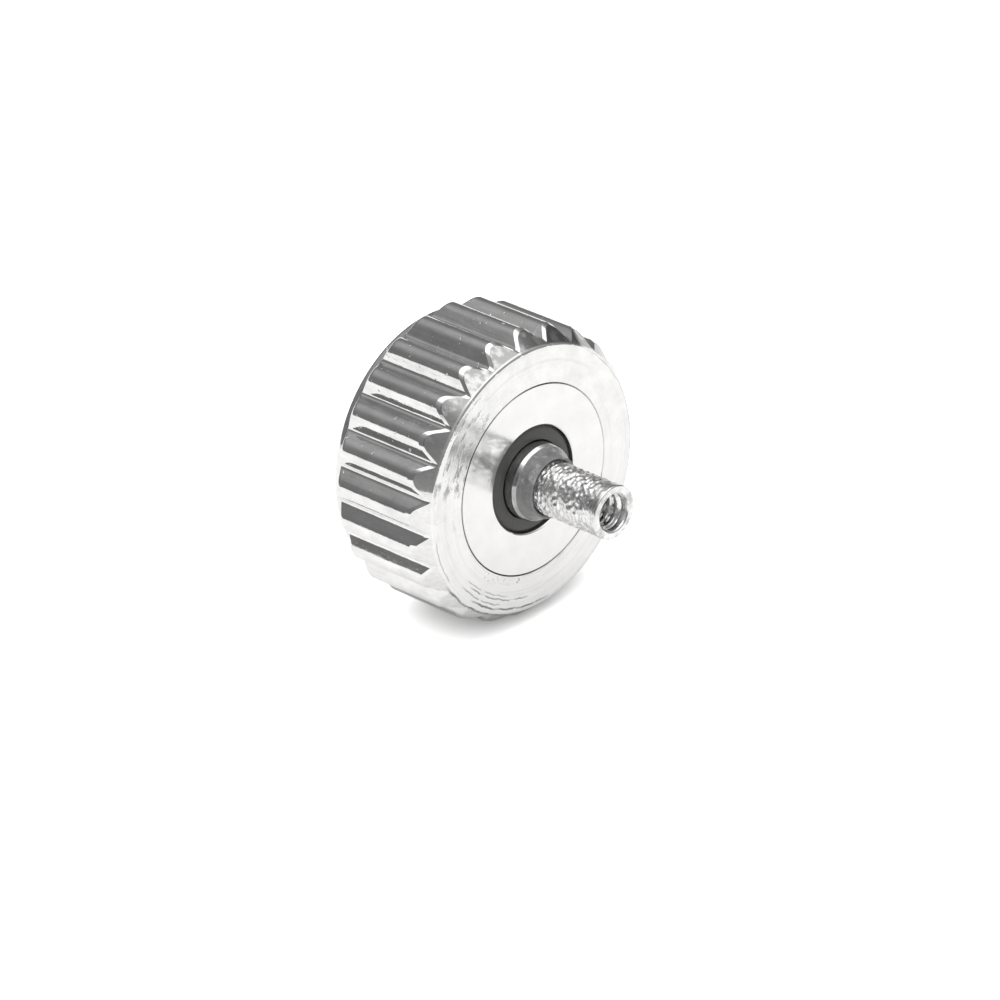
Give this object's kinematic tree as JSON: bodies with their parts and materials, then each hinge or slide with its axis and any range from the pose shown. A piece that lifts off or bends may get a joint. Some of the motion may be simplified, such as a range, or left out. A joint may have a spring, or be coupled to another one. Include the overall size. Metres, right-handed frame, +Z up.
{
  "type": "watch crown",
  "caption": "Fluted steel watch crown with a sprung post tapped for the winding stem and a rubber gasket in its mouth.",
  "frame": {"origin": "on the crown's axis, in the plane of its inner face", "axes": "+Y along the crown's axis towards the domed outer end, so the post points to -Y; +Z up, with the crown standing on two flutes as in the picture"},
  "size_m": [0.007, 0.006, 0.007],
  "materials": {
    "polished_steel": "polished flutes, fine turning marks on the inner face",
    "bright_disc_steel": "smooth and bright",
    "turned_steel": "fine turned",
    "dark_acetal": "smooth, softly glossy",
    "post_steel": "rough turned, fine ridges",
    "plain_steel": "plain",
    "spring_steel": "drawn wire",
    "black_rubber": "matt, slightly worn"
  },
  "bodies": {
    "crown": {"crown_cap": "polished_steel", "retaining_disc": "bright_disc_steel", "mouth_gasket": "black_rubber", "backing_washer": "plain_steel", "spring_housing": "turned_steel", "guide_bush": "dark_acetal", "spring_seat": "plain_steel", "return_spring": "spring_steel"},
    "post": {"stem_post": "post_steel"}
  },
  "joints": [
    {"name": "post_slide", "type": "slide", "parent": "crown", "child": "post", "axis": [0, 1, 0], "range_m": [0, 0.0008], "stiffness_N_per_m": 500, "springref_m": -0.0003, "deforming": ["return_spring"]}
  ]
}
